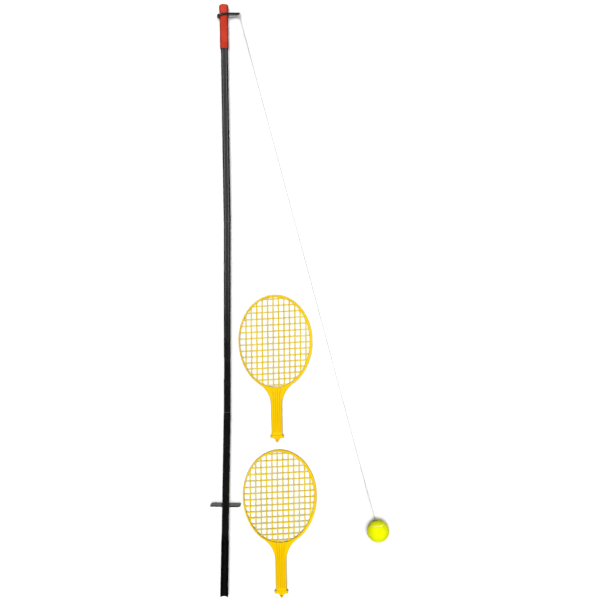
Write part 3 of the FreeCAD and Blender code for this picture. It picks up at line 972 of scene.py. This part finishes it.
def moulded(parts, voxel, passes):
    """Blends overlapping parts into one softened skin, as one mesh."""
    piece = joined("blank", parts)
    remesh = piece.modifiers.new("blend", "REMESH")
    remesh.mode = "VOXEL"
    remesh.voxel_size = voxel
    soften = piece.modifiers.new("soften", "SMOOTH")
    soften.factor = 0.5
    soften.iterations = passes
    bpy.context.view_layer.update()
    graph = bpy.context.evaluated_depsgraph_get()
    mesh = bpy.data.meshes.new_from_object(piece.evaluated_get(graph))
    bpy.data.objects.remove(piece)
    return mesh


def flute_depth(x, y):
    """Grooves along the handle that fan out and fade in the throat."""
    fan = max(0.0, (y - GRIP_TOP) / 0.030)
    spread = 1 + 0.45 * fan
    fade = min(1.0, max(0.0, (y - HANDLE_END - 0.006) / 0.004)) * min(1.0, max(0.0, 1.25 - fan))
    depth = 0.0
    for k in (-1.5, -0.5, 0.5, 1.5):
        away = (x / spread - k * FLUTE_PITCH) / 0.0013
        depth = max(depth, math.exp(-away ** 4))
    return FLUTE_DEPTH * depth * fade


def flute_mask(x, y, z):
    return flute_depth(x, y) / FLUTE_DEPTH if y < GRIP_TOP + 0.032 and abs(z) > 0.003 else 0.0


def bat_body():
    """The moulded frame, blended into one skin and then fluted."""
    head = flat_mesh([bat_outline(), opening_outline(BAT_RIM)], BAT_RIM_DEPTH, 0.0016)
    mesh = moulded([mesh_part(head), grip_part()], 0.00075, 4)
    for vertex in mesh.vertices:
        x, y, z = vertex.co
        vertex.co.z -= math.copysign(FLUTE_DEPTH * flute_mask(x, y, z), z)
    return mesh_part(mesh)


def bat_butt():
    """Ears and tip, with a hole through the tip, softened as one moulding."""
    right = [(0.0150, EAR_END + 0.0026), (0.0090, -0.2900), (0.0062, -0.2930), (0.0050, -0.2960)]
    right += [(0.0026, -0.3006), (0.0013, BAT_END)]
    outline = right + [(-x, y) for x, y in reversed(right)]
    turns = np.linspace(0, 2 * math.pi, 40)[:-1]
    hole = [(HANG_R * math.cos(t), HANG_Y + HANG_R * math.sin(t)) for t in turns]
    tip = flat_mesh([outline, hole], 0.011, 0.0008)
    corners = [(-EAR_HALF, EAR_END), (EAR_HALF, EAR_END), (EAR_HALF, HANDLE_END), (-EAR_HALF, HANDLE_END)]
    ears = flat_mesh([corners], HANDLE_DEPTH, 0.0024)
    return mesh_part(moulded([mesh_part(tip), mesh_part(ears)], 0.00045, 3))


def in_opening(x, y, inset):
    x -= OPENING_SHIFT
    height = (BAT_TOP if y > 0 else BAT_LOW) - inset
    throat = BAT_THROAT - THROAT_SAG * (1 - (x / THROAT_HALF) ** 2) - STRING_BITE
    return (x / (BAT_HALF_WIDTH - inset)) ** 2 + (y / height) ** 2 < 1 and y > throat


def reach_of(spot, direction, inset):
    """How far a string from this spot runs before it meets the rim."""
    low, high = 0.0, 0.3
    for _ in range(20):
        middle_way = (low + high) / 2
        if in_opening(spot[0] + direction[0] * middle_way, spot[1] + direction[1] * middle_way, inset):
            low = middle_way
        else:
            high = middle_way
    return low


def string_part(start, end, width, depth):
    """One moulded string: a rounded bar that swells a little where it meets the rim."""
    start, end = np.array(start, float), np.array(end, float)
    length = np.linalg.norm(end - start)
    side = np.cross((end - start) / length, (0, 0, 1))
    rows = []
    for f in np.linspace(0, 1, max(8, int(length / 0.003))):
        point = start + (end - start) * f
        swell = 1 + 0.55 * math.exp(-min(f, 1 - f) * length / 0.0022)
        row = []
        for k in range(12):
            x, z = rounded_square(2 * math.pi * k / 12, 0.7)
            row.append(point + side * x * width / 2 * swell + np.array((0, 0, z * depth / 2)))
        rows.append(row)
    return shell(rows)


def crossing_part(x, y):
    """The small web that the mould leaves where two strings cross."""
    rows = []
    for z, r in ((-0.0010, 0.0016), (-0.0005, 0.0024), (0.0005, 0.0024), (0.0010, 0.0016)):
        row = []
        for k in range(16):
            t = 2 * math.pi * k / 16
            reach = r * (1 + 0.22 * math.cos(4 * t))
            row.append((x + reach * math.cos(t), y + reach * math.sin(t), z))
        rows.append(row)
    return shell(rows)


def string_grid():
    inset = BAT_RIM - 0.001
    parts = []
    up = Vector((-math.sin(UPRIGHT_TILT), math.cos(UPRIGHT_TILT), 0))
    over = Vector((math.cos(CROSS_TILT), math.sin(CROSS_TILT), 0))
    turn_up = Matrix.Rotation(UPRIGHT_TILT, 3, "Z")
    turn_over = Matrix.Rotation(CROSS_TILT, 3, "Z")
    offsets = [(i - (UPRIGHTS - 1) / 2) * UPRIGHT_PITCH + UPRIGHT_SHIFT for i in range(UPRIGHTS)]
    levels = [CROSS_TOP - i * CROSS_PITCH + i * i * CROSS_EASE for i in range(CROSSES)]
    feet = [turn_up @ Vector((x, 0, 0)) for x in offsets]
    for foot in feet:
        start = foot - up * reach_of(foot, -up, inset)
        end = foot + up * reach_of(foot, up, inset)
        parts.append(string_part(start, end, UPRIGHT_WIDTH, 0.0028))
    for y in levels:
        side = turn_over @ Vector((0, y, 0))
        start = side - over * reach_of(side, -over, inset)
        end = side + over * reach_of(side, over, inset)
        parts.append(string_part(start, end, CROSS_WIDTH, 0.0022))
        for foot in feet:
            # Where this cross meets the upright: foot + up * s = side + over * t.
            gap = side - foot
            along = (gap.x * over.y - gap.y * over.x) / (up.x * over.y - up.y * over.x)
            spot = foot + up * along
            if in_opening(spot.x, spot.y, inset + 0.002):
                parts.append(crossing_part(spot.x, spot.y))
    return parts


def bat_matrix(name):
    """Where a bat lies: its hanging hole's mount gives its place, and its deeper handle its tilt."""
    hole = Vector(mounts[name + "_hang_hole"]["pos_m"])
    half, thick = BAT_RIM_DEPTH / 2, HANDLE_DEPTH / 2
    dip = math.atan2(thick - half, BAT_TOP - GRIP_TOP)
    turn = Matrix.Rotation(BAT_TURN, 4, "Z") @ Matrix.Rotation(-dip, 4, "X")
    return Matrix.Translation(hole - turn @ Vector((0, HANG_Y, 0))) @ turn


def make_bats():
    mouldings = {"frame": bat_body(), "butt": bat_butt()}
    grid = string_grid()
    for name in ("bat_a", "bat_b"):
        matrix = bat_matrix(name)
        for ending, part in mouldings.items():
            piece = joined(f"{name}_{ending}_moulding", [part])
            # The flute mask, stored for the painted shade in the bottom of the flutes.
            flute_shade = piece.data.attributes.new("flute_shade", "FLOAT", "POINT")
            flute_shade.data.foreach_set("value", [flute_mask(*spot) for spot in part[0]])
            piece.data.transform(matrix)
            finish_piece(piece, name, "bat_plastic", bat_yellow, f"{name}_{ending}", sharp=0)
        piece = joined(f"{name}_string_grid", grid)
        piece.data.transform(matrix)
        finish_piece(piece, name, "string_plastic", grid_yellow, f"{name}_strings", sharp=40)


make_bats()


# ---- floor, world and lights ----
def make_floor():
    """A pale floor that neither tints nor shows in the pieces: the world lights them from below."""
    size = 30
    corners = [(-size, -size, 0), (size, -size, 0), (size, size, 0), (-size, size, 0)]
    floor = add_mesh("floor", corners, [(0, 1, 2, 3)])
    floor.location.z = -0.0002
    floor.visible_glossy = False
    floor.visible_diffuse = False
    floor.visible_shadow = False
    look = Look("floor_white", (0.90, 0.90, 0.90), 0.9)
    look.tint(look.noise(3, 2), (0.895, 0.895, 0.895), (0.905, 0.905, 0.905))
    floor.data.materials.append(look.material)


def make_world():
    """White to the camera. To everything else a dim room, paler straight below."""
    seen, room_level, below_level = 0.95, 0.08, 0.50
    pale_from, pale_to = -0.72, -0.88
    world = bpy.data.worlds.new("studio")
    bpy.context.scene.world = world
    world.use_nodes = True
    nodes = world.node_tree.nodes
    links = world.node_tree.links
    background = nodes["Background"]
    background.inputs["Color"].default_value = (1, 1, 1, 1)
    split = nodes.new("ShaderNodeSeparateXYZ")
    links.new(nodes.new("ShaderNodeTexCoord").outputs["Generated"], split.inputs["Vector"])
    room = nodes.new("ShaderNodeMapRange")
    room.inputs["From Min"].default_value = pale_from
    room.inputs["From Max"].default_value = pale_to
    room.inputs["To Min"].default_value = room_level
    room.inputs["To Max"].default_value = below_level
    links.new(split.outputs["Z"], room.inputs["Value"])
    path = nodes.new("ShaderNodeLightPath")
    level = nodes.new("ShaderNodeMapRange")
    level.inputs["To Max"].default_value = seen
    links.new(path.outputs["Is Camera Ray"], level.inputs["Value"])
    links.new(room.outputs["Result"], level.inputs["To Min"])
    links.new(level.outputs["Result"], background.inputs["Strength"])


def ceiling(strength, spread, lean):
    """A wide bright ceiling, too far off to fade across the floor. It doesn't show in shine."""
    data = bpy.data.lights.new("ceiling", "SUN")
    data.energy = strength
    data.angle = math.radians(spread)
    lamp = bpy.data.objects.new("ceiling", data)
    lamp.rotation_euler = (math.radians(-lean), 0, 0)
    lamp.visible_glossy = False
    bpy.context.scene.collection.objects.link(lamp)


def shine_panel(name, place, aim, size, radiance):
    """A soft panel that only shows in the pieces' shine."""
    data = bpy.data.lights.new(name, "AREA")
    data.shape = "RECTANGLE"
    data.size, data.size_y = size
    data.energy = radiance * math.pi * size[0] * size[1]
    lamp = bpy.data.objects.new(name, data)
    lamp.location = place
    lamp.rotation_euler = (Vector(aim) - Vector(place)).to_track_quat("-Z", "Y").to_euler()
    lamp.visible_camera = False
    lamp.visible_diffuse = False
    bpy.context.scene.collection.objects.link(lamp)


make_floor()
make_world()
ceiling(strength=3.75, spread=32, lean=2.5)
shine_panel("panel_above", (-0.2, 1.25, 2.8), (-0.2, 1.25, 0), (2.6, 2.5), radiance=1.3)
for side_name, side_x in (("panel_left", -2.4), ("panel_right", 2.0)):
    shine_panel(side_name, (side_x, 1.0, 1.4), (-0.21, 0.9, 0), (2.0, 1.2), radiance=4.6)

scene = bpy.context.scene
scene.view_settings.view_transform = "Standard"
scene.view_settings.look = "None"

bpy.context.view_layer.update()
